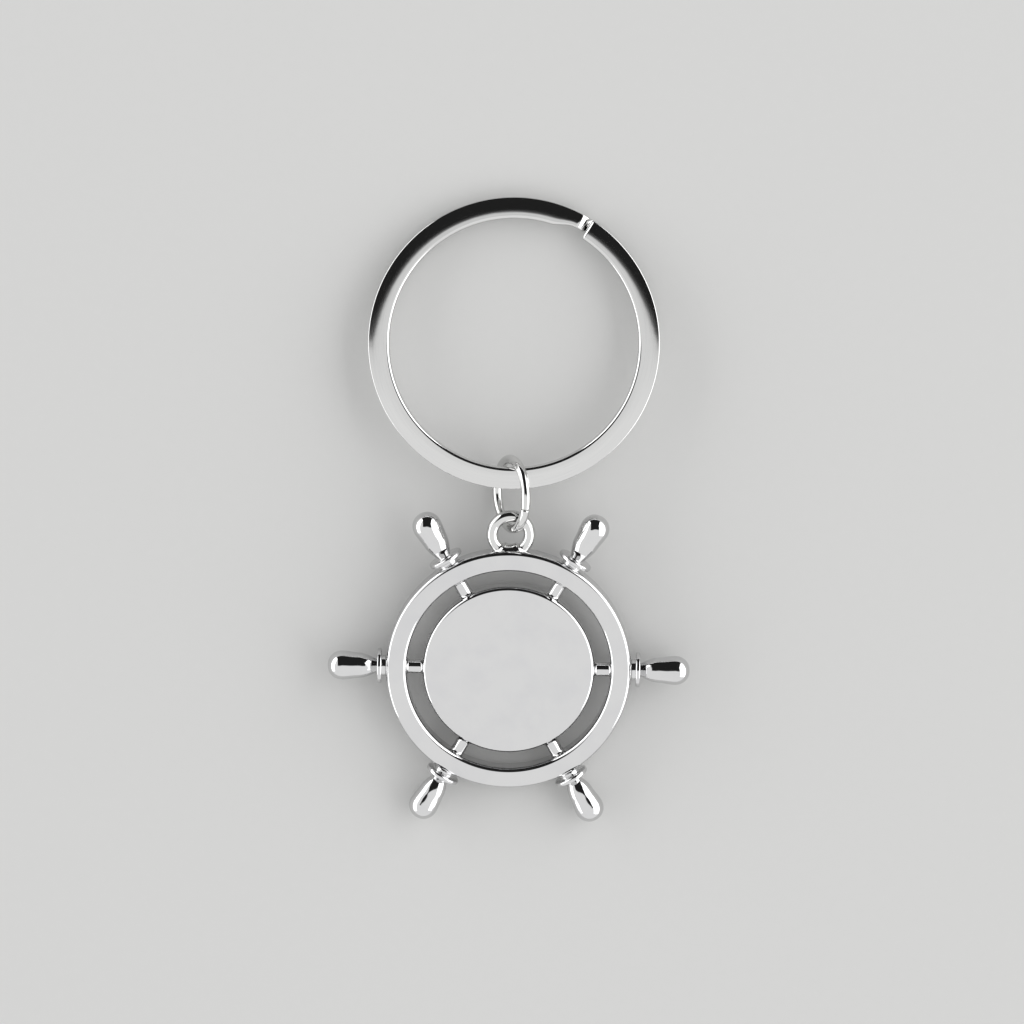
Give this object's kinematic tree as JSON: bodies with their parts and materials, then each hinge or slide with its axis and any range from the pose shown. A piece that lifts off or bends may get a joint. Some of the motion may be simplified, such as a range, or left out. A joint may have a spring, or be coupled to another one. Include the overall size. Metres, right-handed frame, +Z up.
{
  "type": "keychain",
  "caption": "Chromed ship's steering wheel charm with turned grips, hung by a jump ring on a flat split key ring.",
  "frame": {"origin": "middle of the footprint, on the surface that the keychain lies on", "axes": "+Z up from that surface, +Y along the chain from the wheel towards the split ring, +X to the right when the wheel's front face is seen with the split ring at the top"},
  "size_m": [0.0402, 0.0698, 0.008],
  "materials": {
    "chromed_zinc": "bright chrome plate over polished zinc alloy",
    "chromed_steel_wire": "bright plated steel wire"
  },
  "bodies": {
    "wheel": {"rim": "chromed_zinc", "hub_disc": "chromed_zinc", "spindle_1": "chromed_zinc", "spindle_2": "chromed_zinc", "spindle_3": "chromed_zinc", "spindle_4": "chromed_zinc", "spindle_5": "chromed_zinc", "spindle_6": "chromed_zinc", "eye": "chromed_steel_wire"},
    "link": {"jump_ring": "chromed_steel_wire"},
    "key_ring": {"split_ring": "chromed_steel_wire"}
  },
  "joints": [
    {"name": "link_on_eye", "type": "hinge", "parent": "wheel", "child": "link", "pos_m": [0, -0.00006, 0.00402], "axis": [1, 0, 0], "range_deg": [-57, 66]},
    {"name": "key_ring_on_link", "type": "hinge", "parent": "link", "child": "key_ring", "pos_m": [0, 0.00418, 0.00402], "axis": [1, 0, 0], "range_deg": [-100, 100]}
  ]
}
